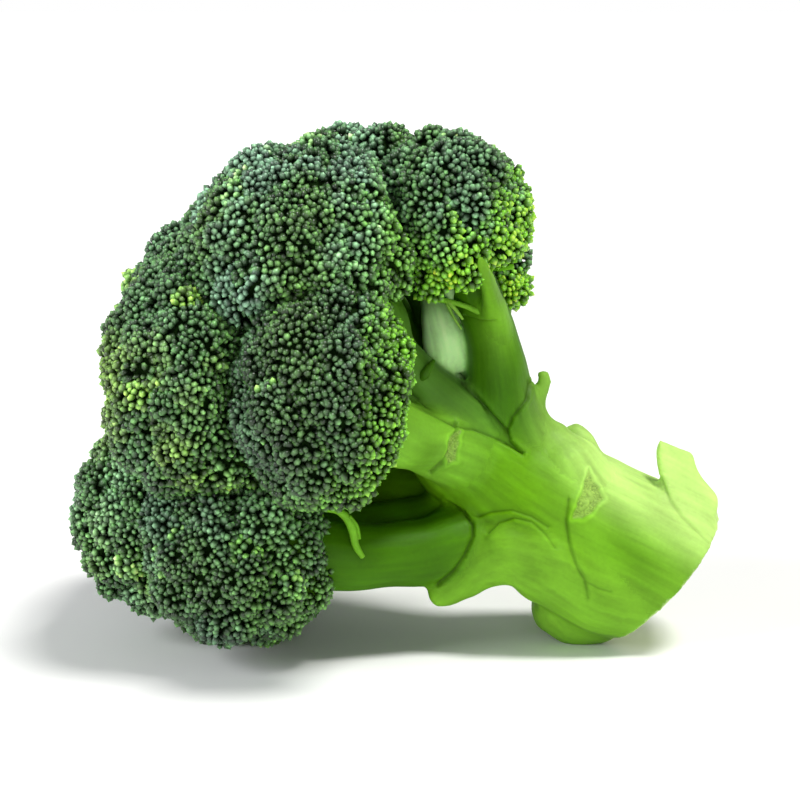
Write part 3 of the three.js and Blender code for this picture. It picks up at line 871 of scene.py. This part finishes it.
def flesh_material(mottle):
    """Juicy stalk flesh: fibres along each limb, waxy bloom, creases darkened by painted shade and
    rough scars.
    """
    material, nodes, links = fresh_material("stalk_flesh")
    shader = nodes["Principled BSDF"]
    place = nodes.new("ShaderNodeTexCoord").outputs["Object"]
    tint, grain = attribute(nodes, "tint"), attribute(nodes, "grain")
    fibres = add_mottle(nodes, links, mottle, tint.outputs["Color"], grain.outputs["Vector"],
                        0.5, 0.3)
    cloudy = add_mottle(nodes, links, mottle, fibres.outputs["Colour"], place, 70, 0.22)
    speckled = add_mottle(nodes, links, mottle, cloudy.outputs["Colour"], place, 900, 0.1)
    links.new(speckled.outputs["Colour"], shader.inputs["Base Color"])
    rough = ranged(nodes, links, cloudy.outputs["Spots"], 0.4, 0.62)
    links.new(rough, shader.inputs["Roughness"])
    shader.inputs["Specular IOR Level"].default_value = 0.11
    shader.inputs["Subsurface Weight"].default_value = 0.12
    shader.inputs["Subsurface Radius"].default_value = (0.5, 1.0, 0.15)
    shader.inputs["Subsurface Scale"].default_value = 0.004
    bump = bumped(nodes, links, fibres.outputs["Spots"], 0.35, 0.0005)
    fine = bumped(nodes, links, speckled.outputs["Spots"], 0.12, 0.0002)
    links.new(bump.outputs["Normal"], fine.inputs["Normal"])
    links.new(fine.outputs["Normal"], shader.inputs["Normal"])
    return material


def with_alpha(colours):
    """Colours kept from 0 to 1, with a fourth column of ones."""
    return np.concatenate([np.clip(colours, 0, 1), np.ones((len(colours), 1))], axis=1)


def shared(name, make, *given):
    """A material or node group made once and found again by its name."""
    kept = bpy.data.node_groups.get(name) or bpy.data.materials.get(name)
    return kept or make(*given)


# Pieces

def bud_colours(head, settings, roots, out, tuft, rng):
    """One colour for each bud: deep green drawn towards olive and wax in patches and by tuft, and
    towards fresh green at the rim, more so at the right. Single buds are lighter or darker at random,
    and each head's buds as a whole by its lightness level, which is painted light and shade."""
    olive, waxy, fresh, painted_light_level = TONES[head["name"]]
    rise = unit(roots - head["centre"]) @ head["axis"]
    broad = patches(roots, 34, 3)
    fine = patches(roots, 11, 5)
    by_tuft = rng.normal(size=tuft.max() + 1)[tuft]
    by_bud = rng.normal(size=len(roots))
    rim = smoothstep(0.35, -0.3, rise + 0.12 * fine - 0.55 * np.maximum(out[:, 0], 0))
    to_right = smoothstep(-30, 25, roots[:, 0])
    shares = np.stack([
        olive * smoothstep(-0.5, 0.8, broad + 0.45 * by_tuft),
        waxy * smoothstep(-0.5, 0.7, -broad + 0.5 * by_tuft + 0.3 * out[:, 2]),
        fresh * rim * (0.4 + 0.8 * to_right) + 0.35 * smoothstep(1.8, 2.5, by_tuft + 0.3 * by_bud),
    ], axis=1).clip(0, 1)
    colours = np.tile(np.array(settings.deep), (len(roots), 1))
    for share, colour in zip(shares.T, (settings.olive, settings.waxy, settings.fresh)):
        colours += share[:, None] * (np.array(colour) - colours)
    # Painted light and shade: each head's lightness level, with a random tone for each bud, tuft and
    # patch
    light = painted_light_level * np.exp(0.27 * by_bud + 0.16 * by_tuft + 0.16 * fine)
    return colours * light[:, None]


def build_floret(head, settings, materials, rng):
    """One floret head: a core with a lobed skin, buds over its dome and stalklets beneath."""
    roots, out, tuft = bud_places(head, settings, rng)
    size = settings.pitch * BUD_WIDTH * rng.uniform(0.78, 1.22, len(roots))
    sunk = rng.uniform(-0.25, 0.35, len(roots))
    points, faces = set_buds(roots - out * sunk[:, None],
                             unit(out + 0.28 * rng.normal(size=out.shape)), size,
                             size * rng.uniform(1.0, 1.7, len(roots)), rng)
    colours = bud_colours(head, settings, roots, out, tuft, rng)
    # Painted shade and highlight: each bud's base near black, its tip bright as a glint, multiplied
    # into its colour
    painted_ring_shade_and_tip_highlight = [painted_shade for *_, painted_shade in BUD_RINGS] + [BUD_TIP[1]]
    painted_bud_shade_and_highlight = np.repeat(painted_ring_shade_and_tip_highlight, [BUD_SIDES] * len(BUD_RINGS) + [1])
    tints = (colours[:, None] * painted_bud_shade_and_highlight[None, :, None]).reshape(-1, 3)

    directions, core_faces = ball_grid(*CORE_GRID, head["axis"])
    core = skin(head, directions, CORE_SINK)
    rise = unit(core - head["centre"]) @ head["axis"]
    # Painted shade: the core's top takes the near black core colour; its underside the paler green of
    # the stalklets
    under = smoothstep(-0.2, -0.6, rise)[:, None]
    core_painted_shade_and_underside_green = np.array(settings.core) * (1 - under) + 0.5 * np.array(settings.fresh) * under

    ribs, rib_faces, rib_tint = build_stalklets(head, settings, rng)
    places, all_faces = joined([(points, faces), (core, core_faces), (ribs, rib_faces)])
    places[:, 2] = np.maximum(places[:, 2], GROUND_GAP)
    slots = np.repeat((0, 2, 1), (len(faces), len(core_faces), len(rib_faces)))
    tint = with_alpha(np.concatenate([tints, core_painted_shade_and_underside_green, rib_tint]))
    piece = new_piece(f"buds_{head['name']}", places, all_faces, materials, slots,
                      [("tint", tint), ("grain", places)])
    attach(piece, "root")
    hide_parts(f"floret_{head['name']}")


def build_stalklets(head, settings, rng):
    """Thin stalks that fan out under a head, from where its stalk enters to its rim.

    Each runs over the underside along the great circle from the stalk to a point on the rim.
    """
    stalk = STALKS.get(head["name"], [FORK] * 2)
    entry = unit(np.array(stalk[-2][:3], float) - head["centre"])
    entry = unit(entry - 0.6 * head["axis"])
    count = max(8, int(head["radius"]))
    side = unit(np.cross(head["axis"], (0.2, 0.9, 0.3)))
    other = np.cross(head["axis"], side)
    turn = 2 * math.pi * (np.arange(count) + rng.uniform(-0.3, 0.3, count)) / count
    drop = -head["under"] * rng.uniform(0.85, 1.02, count)[:, None]
    around = np.cos(turn)[:, None] * side + np.sin(turn)[:, None] * other
    rim = np.sqrt(1 - drop ** 2) * around + drop * head["axis"]
    rings, sides = 9, 8
    along = np.linspace(0, 1, rings)
    way = unit(entry[None, None] * (1 - along)[None, :, None]
               + rim[:, None] * along[None, :, None])
    toward, distance = dome(head, way.reshape(-1, 3))
    facing = (toward @ head["plane_normals"][1:].T) / head["plane_widths"][1:]
    cut = smoothstep(0.8, 0.95, facing.max(axis=1) * distance)
    flat = skin(head, way.reshape(-1, 3), 1.6 + 4 * cut).reshape(count, rings, 3)
    radii = np.linspace(2.0, 0.7, rings)[None] * rng.uniform(0.8, 1.2, (count, 1))
    points, faces = swept(flat, radii, sides)
    share = np.concatenate([np.repeat(along, sides), (0, 1)])[None, :, None]
    entry_colour, rim_colour = np.array((0.17, 0.4, 0.03)), np.array(settings.fresh)
    tint = (entry_colour * (1 - share) + rim_colour * share).repeat(count, axis=0)
    return points, faces, tint.reshape(-1, 3)


def melted(name, points, faces, cell, passes):
    """Overlapping closed shells joined to one skin on a grid of cells and relaxed."""
    blank = new_piece(name, points, faces, [])
    melt = blank.modifiers.new("melt", "REMESH")
    melt.mode = "VOXEL"
    melt.voxel_size = cell * MM
    relax = blank.modifiers.new("relax", "SMOOTH")
    relax.factor = 0.5
    relax.iterations = passes
    ready = blank.evaluated_get(bpy.context.evaluated_depsgraph_get())
    mesh = bpy.data.meshes.new_from_object(ready)
    bpy.data.objects.remove(blank)
    return mesh


def stem_blank(settings):
    """The limbs and the flap joined to one skin, cut flat at the knife cut."""
    sets = [swept(line[None], radii[None], LIMB_SIDES) for line, radii in limbs().values()]
    mesh = melted("stem_blank", *joined(sets + [flap()]), 0.8 * settings.voxel, 6)
    form = bmesh.new()
    form.from_mesh(mesh)
    cut = bmesh.ops.bisect_plane(
        form, geom=form.verts[:] + form.edges[:] + form.faces[:],
        plane_co=Vector(CUT_POINT * MM), plane_no=Vector(CUT_NORMAL), clear_outer=True)
    rim = [e for e in cut["geom_cut"] if isinstance(e, bmesh.types.BMEdge)]
    bmesh.ops.edgenet_fill(form, edges=rim)
    bmesh.ops.triangulate(form, faces=form.faces[:])
    form.verts.ensure_lookup_table()
    points = np.array([v.co for v in form.verts]) / MM
    faces = np.array([[v.index for v in f.verts] for f in form.faces])
    form.free()
    return melted("stem_cut", points, faces, settings.voxel, 5)


def limb_fields(points):
    """For each point of the stem: how near each limb's skin is, and its place on the nearest one
    as two steps across the limb and a share of the way along it."""
    every = 3
    gaps, places = [], []
    for line, radius in limbs().values():
        middles, widths = line[::every], radius[::every]
        ahead = unit(np.gradient(line, axis=0))[::every]
        steps = np.linalg.norm(np.diff(line, axis=0), axis=1)
        travel = np.concatenate([[0], np.cumsum(steps)])[::every]
        gap = np.stack([np.linalg.norm(points - middle, axis=1) - width
                        for middle, width in zip(middles, widths)], axis=1)
        best = gap.argmin(axis=1)
        gaps.append(gap[np.arange(len(points)), best])
        rel, tangent = points - middles[best], ahead[best]
        along = (rel * tangent).sum(axis=1)
        across = rel - along[:, None] * tangent
        side = unit(np.cross(tangent, SECTION_SIDE))
        places.append(np.stack([(across * side).sum(axis=1),
                                (across * np.cross(tangent, side)).sum(axis=1),
                                GRAIN_ALONG * (travel[best] + along)], axis=1))
    gaps, places = np.stack(gaps, axis=1), np.stack(places, axis=1)
    yields = np.array([LUMP_YIELD * (name in ("heel", "end_rib", "bump")) for name in limbs()])
    return gaps, places[np.arange(len(points)), (gaps + yields).argmin(axis=1)]


# How much of the deep flesh colour (painted shade on the stalks under the crown), the pale flesh
# colour and the waxed flesh colour (partly painted light on the tongue) each limb takes
LIMB_TONES = {
    "trunk": (0, 0, 0), "stalk_near_low": (0.8, 0, 0), "stalk_front": (0, 0.05, 0.03),
    "stalk_top_right": (0.88, 0, 0), "stalk_top_near": (0.75, 0, 0.05),
    "stalk_top_middle": (1, 0, 0), "stalk_small_right": (0.3, 0.2, 0),
    "stalk_left_near": (0.9, 0, 0), "stalk_left_low": (0.9, 0, 0), "stalk_bottom": (0.8, 0, 0),
    "stalk_far": (0.2, 0, 0), "stalk_far_low": (0.4, 0, 0), "stalk_far_left": (0.8, 0, 0),
    "stalk_far_top": (0.6, 0, 0), "lower_rib": (0, 0.1, 0), "curled_bract": (0, 0.25, 0),
    "rim_branch": (0, 0.1, 0), "bump": (0, 0.3, 0), "end_rib": (0, 1, 0),
    "heel": (0, 0.15, 0), "tongue": (0, 0, 1),
}


def stem_tints(settings, points, gaps):
    """Flesh colour mixed from the limbs close by: paler towards the trunk's end and, as painted
    light, its top; deeper in a patch of the trunk's near side; painted shade on the stalks under the
    crown and up in the fork; the waxed tongue fading to painted shade towards its top."""
    names = list(limbs())
    weights = np.exp(-(gaps - gaps.min(axis=1, keepdims=True)) / 1.2)
    weights /= weights.sum(axis=1, keepdims=True)
    deep, pale, waxy = (weights @ np.array([LIMB_TONES[name] for name in names])).T
    trunk = weights[:, names.index("trunk")]
    # Painted light: the trunk's end is paler on its top, where the light from above falls; a tenth of
    # it all round is the end's own paler colour
    high = smoothstep(3, 19, (points - CUT_POINT) @ (0.52, 0, 0.85))
    end = smoothstep(28, 60, points[:, 0])
    pale = np.maximum(pale, end * (0.1 + 0.9 * high))
    near = smoothstep(2, -8, points[:, 1])
    middle, across, width, length = PATCH
    place = points[:, [0, 2]] - middle
    patch = near * np.exp(-(place @ across / width) ** 2
                          - (place @ (across[1], -across[0]) / length) ** 2)
    deep, pale = np.maximum(deep, 0.25 * patch), pale * (1 - 0.7 * patch)
    # Painted shade: the waxed colour fades out towards the tongue's top, up in the hollow under the
    # crown
    waxy = waxy * smoothstep(103, 88, points[:, 2])
    # Painted shade: the trunk deepens towards the fork, under the crown
    deep = np.maximum(deep, trunk * smoothstep(14, -20, points[:, 0]) * 0.8)
    tint = np.tile(np.array(settings.flesh), (len(points), 1))
    for share, colour in ((deep, settings.painted_shade), (pale, settings.pale), (waxy, settings.waxy)):
        tint += share[:, None] * (np.array(colour) - tint)
    return tint


def refine(mesh, reaches=(2.2, 0.8)):
    """Faces near a crease, a scar or the flap's left edge on the near side split into four, once
    for each reach in millimetres."""
    lines = [line for line, _, _ in CREASES.values()]
    lines += [LEAF_SCAR + LEAF_SCAR[:1], SIDE_SCAR + SIDE_SCAR[:1], FLAP_LEFT]
    form = bmesh.new()
    form.from_mesh(mesh)
    for reach in reaches:
        points = np.array([v.co for v in form.verts]) / MM
        facing = np.array([v.normal.y for v in form.verts]) < 0.1
        gap = np.min([line_distance(points[:, [0, 2]], line)[0] for line in lines], axis=0)
        chosen = facing & (gap < reach) & (points[:, 1] < 0)
        form.verts.ensure_lookup_table()
        edges = [e for e in form.edges if chosen[e.verts[0].index] and chosen[e.verts[1].index]]
        bmesh.ops.subdivide_edges(form, edges=edges, cuts=1, use_grid_fill=True)
        form.verts.index_update()
    bmesh.ops.triangulate(form, faces=form.faces[:])
    form.to_mesh(mesh)
    form.free()


def build_stem(settings, flesh):
    """The stem: the joined limbs with creases, scars, fibres and the knife cut.

    Each point moves along its normal by a sum of bell curves of its distance from the creases
    and scars, with waves for fibres and knobs and a low dome on the cut.
    """
    mesh = stem_blank(settings)
    refine(mesh)
    count = len(mesh.vertices)
    points = np.empty(count * 3, np.float32)
    normals = np.empty(count * 3, np.float32)
    mesh.vertices.foreach_get("co", points)
    mesh.vertices.foreach_get("normal", normals)
    points, normals = points.reshape(-1, 3).astype(float) / MM, normals.reshape(-1, 3)
    gaps, grain = limb_fields(points)
    cut_height = (points - CUT_POINT) @ CUT_NORMAL
    on_cut = smoothstep(-0.9, -0.3, cut_height) * smoothstep(0.6, 0.9, normals @ CUT_NORMAL)
    off_cut = 1 - on_cut
    square = points[:, [0, 2]]
    near = smoothstep(0.25, -0.25, normals[:, 1]) * off_cut

    raised = np.zeros(count)
    crease_painted_shade = np.zeros(count)
    groove_width, crease_shade_width, step_width, lip_place, lip_width = 0.42, 0.38, 3, 1.1, 0.6
    for line, depth, step in CREASES.values():
        gap, side = line_distance(square, line)
        groove = np.exp(-(gap / groove_width) ** 2)
        lip = np.exp(-((gap - lip_place) / lip_width) ** 2)
        raised += near * (-0.75 * depth * groove
                          + step * side * np.exp(-gap / step_width) * smoothstep(0, 0.8, gap)
                          + 0.2 * depth * lip)
        # Painted shade in each crease, darker for deeper creases
        crease_painted_shade = np.maximum(crease_painted_shade, near * np.exp(-(gap / crease_shade_width) ** 2) * min(1, depth))
    scar, rim = np.zeros(count), np.zeros(count)
    for outline in (LEAF_SCAR, SIDE_SCAR):
        depth_in = inside(square, outline) + 0.4 * patches(points, 3.5, 14)
        scar = np.maximum(scar, near * smoothstep(-0.1, 0.5, depth_in))
        rim = np.maximum(rim, near * np.exp(-((depth_in + 0.5) / 0.45) ** 2))
        raised += near * (0.3 * np.exp(-((depth_in + 0.6) / 0.7) ** 2)
                          - 0.5 * smoothstep(-0.1, 1.2, depth_in))
    fibre = patches(grain * (1, 1, 2), 3.2, 11)
    knobs = patches(points, 16, 12)
    crumbs = np.random.default_rng(13).normal(size=count)
    raised += off_cut * (0.06 * fibre + 0.22 * knobs) + 0.11 * scar * crumbs
    from_pith = np.linalg.norm(points - PITH, axis=1)
    raised += on_cut * 0.8 * np.clip(1 - (from_pith / CUT_DOME) ** 2, 0, 1)
    points = points + normals * raised[:, None]
    points[:, 2] = np.maximum(points[:, 2], 0)

    tint = stem_tints(settings, points, gaps)
    tint *= (1 + 0.12 * knobs + 0.07 * fibre)[:, None]
    # Creases darkened by painted shade
    tint *= (1 - 0.5 * crease_painted_shade)[:, None]
    tint += (0.6 * scar)[:, None] * (np.array(SCAR_COLOUR) - tint)
    tint *= (1 + 0.16 * scar * crumbs.clip(-2, 2) + 0.25 * rim)[:, None]
    ring = np.exp(-((from_pith - CUT_RING) / 1.2) ** 2)
    tint += on_cut[:, None] * (np.array(settings.cut) * (1 - 0.25 * ring)[:, None] - tint)

    mesh.vertices.foreach_set("co", (points * MM).astype(np.float32).ravel())
    mesh.name = "stem_flesh"
    mesh.materials.clear()
    mesh.materials.append(flesh)
    mesh.polygons.foreach_set("use_smooth", np.ones(len(mesh.polygons), bool))
    write_attributes(mesh, [("tint", with_alpha(tint)), ("grain", grain)])
    mesh.update()
    piece = bpy.data.objects.new("stem_flesh", mesh)
    bpy.context.scene.collection.objects.link(piece)
    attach(piece, "root")
    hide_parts("stem")
    return piece


# Thin growths on the near side: each is rows of points and radii, with a colour
TWIGS = {
    "twig_stem": ([(21.2, -15.5, 93.2, 0.9), (17, -15.2, 94.9, 0.7), (13.2, -15, 96, 0.7),
                   (9.5, -14, 96.7, 0.9), (6.3, -12.5, 97, 0.8)], (0.2, 0.48, 0.03)),
    "twig_strand": ([(12.8, -15, 96, 0.6), (14.8, -15.4, 93.6, 0.5), (16.4, -15.3, 91.4, 0.35)],
                    (0.25, 0.5, 0.06)),
    "twig_thread": ([(12.2, -14.8, 95.6, 0.5), (14, -15.3, 92, 0.4), (16, -15.2, 88.8, 0.3)],
                    (0.2, 0.42, 0.05)),
    "twig_leaf": ([(13.4, -14.5, 96, 0.7), (12.6, -13.6, 99, 1.7), (11.3, -12, 102, 0.5)],
                  (0.3, 0.5, 0.2)),
    "small_bract": ([(5.2, -17, 75.4, 0.9), (6.4, -17.4, 77.2, 1.4), (7.6, -16.8, 78.9, 1.1),
                     (8.9, -15.6, 80.6, 0.5)], (0.05, 0.15, 0.005)),
    "low_twig": ([(-9.7, -26.4, 30.2, 0.7), (-11.5, -26.7, 33.4, 1.0), (-12.4, -28, 38.2, 1.2),
                  (-14, -29, 41.6, 1.1), (-16.5, -30, 43.6, 0.9), (-19.5, -30.5, 44, 0.7)],
                 (0.16, 0.42, 0.02)),
    "low_strand": ([(-10.6, -27, 35.4, 0.5), (-11.2, -28.2, 39, 0.5), (-13, -29.4, 42, 0.4)],
                   (0.13, 0.36, 0.012)),
}
TWIG_SAMPLES = 6
TWIG_SIDES = 10


def build_twigs(flesh):
    """Small twigs, threads and bracts: round sections carried along short bent lines."""
    sets, tints = [], []
    for rows, colour in TWIGS.values():
        line, radii = smooth_line(rows, TWIG_SAMPLES)
        sets.append(swept(line[None], radii[None], TWIG_SIDES))
        tints.append(np.tile(np.array(colour), (len(sets[-1][0]), 1)))
    points, faces = joined(sets)
    piece = new_piece("small_twigs", points, faces, [flesh],
                      attributes=[("tint", with_alpha(np.concatenate(tints))), ("grain", points)])
    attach(piece, "root")


# Operators

class BROCCOLI_OT_stage(bpy.types.Operator):
    """Makes the floor, the soft lights and the camera"""
    bl_idname = "broccoli.stage"
    bl_label = "Stage"

    def execute(self, context):
        settings = context.scene.broccoli_stage
        scene = context.scene
        scene.view_settings.view_transform = "Standard"
        corners = [(-1, -1, 0), (1, -1, 0), (1, 1, 0), (-1, 1, 0)]
        rows = FLOOR_REACH * np.array(corners, float)
        material, nodes, _ = fresh_material("plain_floor")
        shader = nodes["Principled BSDF"]
        shader.inputs["Base Color"].default_value = (*settings.floor, 1)
        shader.inputs["Roughness"].default_value = 0.9
        floor = new_piece("floor", rows, np.array([(0, 1, 2), (0, 2, 3)]), [material])
        world = bpy.data.worlds.new("studio")
        scene.world = world
        world.use_nodes = True
        nodes, links = world.node_tree.nodes, world.node_tree.links
        seen = nodes.new("ShaderNodeLightPath").outputs["Is Camera Ray"]
        nodes["Background"].inputs["Color"].default_value = (1, 1, 1, 1)
        strength = ranged(nodes, links, seen, settings.sky, 1)
        links.new(strength, nodes["Background"].inputs["Strength"])
        for name, (place, spread, colour) in LIGHTS.items():
            self.light(name, place, spread, getattr(settings, name), colour)
        self.camera(scene)
        return {"FINISHED"}

    def light(self, name, place, spread, strength, colour):
        """A far soft light that shines from a side towards the middle of the head."""
        data = bpy.data.lights.new(name, "SUN")
        data.energy = strength
        data.angle = math.radians(spread)
        data.color = colour
        lamp = bpy.data.objects.new(name, data)
        lamp.location = place
        aim = Vector(TARGET) * MM - lamp.location
        lamp.rotation_euler = aim.to_track_quat("-Z", "Y").to_euler()
        bpy.context.scene.collection.objects.link(lamp)

    def camera(self, scene):
        """Stands DISTANCE back from the target at ELEVATION above the horizon."""
        tilt = math.radians(ELEVATION)
        data = bpy.data.cameras.new("camera")
        data.lens = LENS
        data.sensor_width = 36
        data.clip_start = 0.01
        data.clip_end = 300
        eye = bpy.data.objects.new("camera", data)
        back = Vector((0, -math.cos(tilt), math.sin(tilt)))
        eye.location = (Vector(TARGET) + back * DISTANCE) * MM
        eye.rotation_euler = (-back).to_track_quat("-Z", "Y").to_euler()
        scene.collection.objects.link(eye)
        scene.camera = eye


class BROCCOLI_OT_stem(bpy.types.Operator):
    """Builds the trunk, stalks and trimmed leaf bases as one piece of flesh, and the twigs"""
    bl_idname = "broccoli.stem"
    bl_label = "Stem"

    def execute(self, context):
        mottle = shared("mottle", mottle_group)
        flesh = shared("stalk_flesh", flesh_material, mottle)
        build_stem(context.scene.broccoli_stem, flesh)
        build_twigs(flesh)
        return {"FINISHED"}


class BROCCOLI_OT_florets(bpy.types.Operator):
    """Builds every floret head: core, buds and stalklets"""
    bl_idname = "broccoli.florets"
    bl_label = "Floret heads"

    def execute(self, context):
        settings = context.scene.broccoli_buds
        mottle = shared("mottle", mottle_group)
        materials = (shared("bud_skin", bud_material, mottle),
                     shared("stalk_flesh", flesh_material, mottle),
                     shared("floret_core", core_material, mottle))
        for number, head in enumerate(floret_heads().values()):
            rng = np.random.default_rng(settings.seed * 100 + number)
            build_floret(head, settings, materials, rng)
        return {"FINISHED"}


class BROCCOLI_PT_panel(bpy.types.Panel):
    """Shows the settings and a button for each step in the sidebar"""
    bl_idname = "BROCCOLI_PT_panel"
    bl_label = "Broccoli"
    bl_space_type = "VIEW_3D"
    bl_region_type = "UI"
    bl_category = "Broccoli"

    def draw(self, context):
        scene = context.scene
        for settings in (scene.broccoli_buds, scene.broccoli_stem, scene.broccoli_stage):
            box = self.layout.box()
            for name in type(settings).__annotations__:
                box.prop(settings, name)
        for operator in OPERATORS:
            self.layout.operator(operator.bl_idname)


SETTINGS = {
    "broccoli_buds": BudSettings,
    "broccoli_stem": StemSettings,
    "broccoli_stage": StageSettings,
}
OPERATORS = (BROCCOLI_OT_stage, BROCCOLI_OT_stem, BROCCOLI_OT_florets)


def register():
    """Adds the classes and the three groups of settings."""
    for cls in (*SETTINGS.values(), *OPERATORS, BROCCOLI_PT_panel):
        bpy.utils.register_class(cls)
    for name, cls in SETTINGS.items():
        setattr(bpy.types.Scene, name, PointerProperty(type=cls))


def unregister():
    """Takes the settings and the classes away again."""
    for name in SETTINGS:
        delattr(bpy.types.Scene, name)
    for cls in reversed((*SETTINGS.values(), *OPERATORS, BROCCOLI_PT_panel)):
        bpy.utils.unregister_class(cls)


def main():
    """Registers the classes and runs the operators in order."""
    register()
    bpy.ops.broccoli.stage()
    bpy.ops.broccoli.stem()
    bpy.ops.broccoli.florets()
    bpy.context.view_layer.update()


if __name__ == "__main__":
    main()
